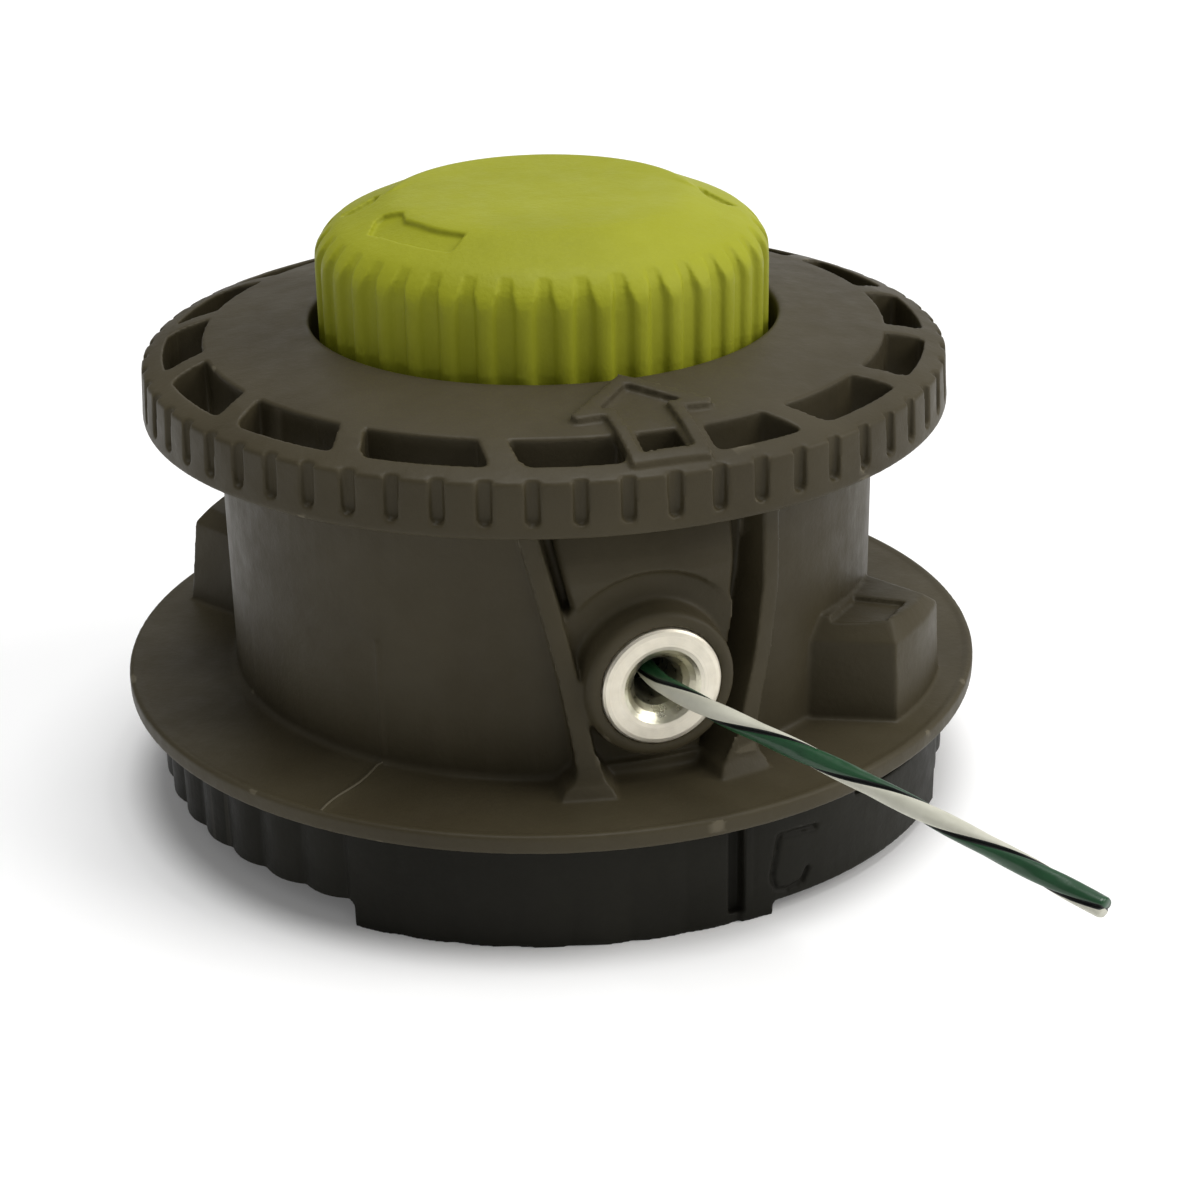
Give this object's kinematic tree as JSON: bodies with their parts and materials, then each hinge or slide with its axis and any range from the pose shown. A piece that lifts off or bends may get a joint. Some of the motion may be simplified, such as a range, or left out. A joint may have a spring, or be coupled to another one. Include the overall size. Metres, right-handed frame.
{
  "type": "bump feed trimmer head",
  "caption": "Bump feed string trimmer head: drum housing with notched flange, ribbed bump knob, line eyelets and a line end, on a scalloped skirt.",
  "frame": {"origin": "on the spin axis, in the plane that the skirt's lower edge rests on", "axes": "+Z along the spin axis from the gearbox side to the bump knob, -Y is the front of the picture, +X to the right"},
  "size_m": [0.115, 0.1503, 0.0797],
  "materials": {
    "black_plastic": "moulded glass filled nylon, fine matte texture",
    "olive_plastic": "moulded nylon, satin, light fibre streaks",
    "green_plastic": "moulded nylon, satin",
    "aluminium_eyelet": "turned, satin",
    "steel_zinc": "zinc plated",
    "spring_steel": "oiled spring wire",
    "cam_plastic": "natural acetal",
    "spool_plastic": "moulded nylon",
    "nylon_line": "drawn nylon, glossy, one pale and one dark strand"
  },
  "bodies": {
    "housing": {"upper_housing": "black_plastic", "arbor_insert": "steel_zinc", "lower_housing": "olive_plastic", "eyelet_front": "aluminium_eyelet", "eyelet_rear": "aluminium_eyelet", "index_cam_ring": "cam_plastic", "index_cam_screws": "steel_zinc", "drive_cam_ring": "cam_plastic", "drive_cam_screws": "steel_zinc", "spring_washer": "steel_zinc", "retaining_ring": "spring_steel", "bump_spring": "spring_steel", "line_front": "nylon_line"},
    "spring_carrier": {"spring_seat": "cam_plastic", "thrust_washer": "cam_plastic"},
    "spool_and_knob": {"spool": "spool_plastic", "knob": "green_plastic", "knob_screws": "steel_zinc", "line_coil_lower": "nylon_line", "line_coil_upper": "nylon_line"}
  },
  "joints": [
    {"name": "bump_slide", "type": "slide", "parent": "housing", "child": "spring_carrier", "axis": [0, 0, -1], "range_m": [0, 0.006], "stiffness_N_per_m": 2000, "springref_m": -0.005, "deforming": ["bump_spring"]},
    {"name": "knob_wind", "type": "hinge", "parent": "spring_carrier", "child": "spool_and_knob", "pos_m": [0, 0, 0.04], "axis": [0, 0, 1], "continuous": true}
  ]
}
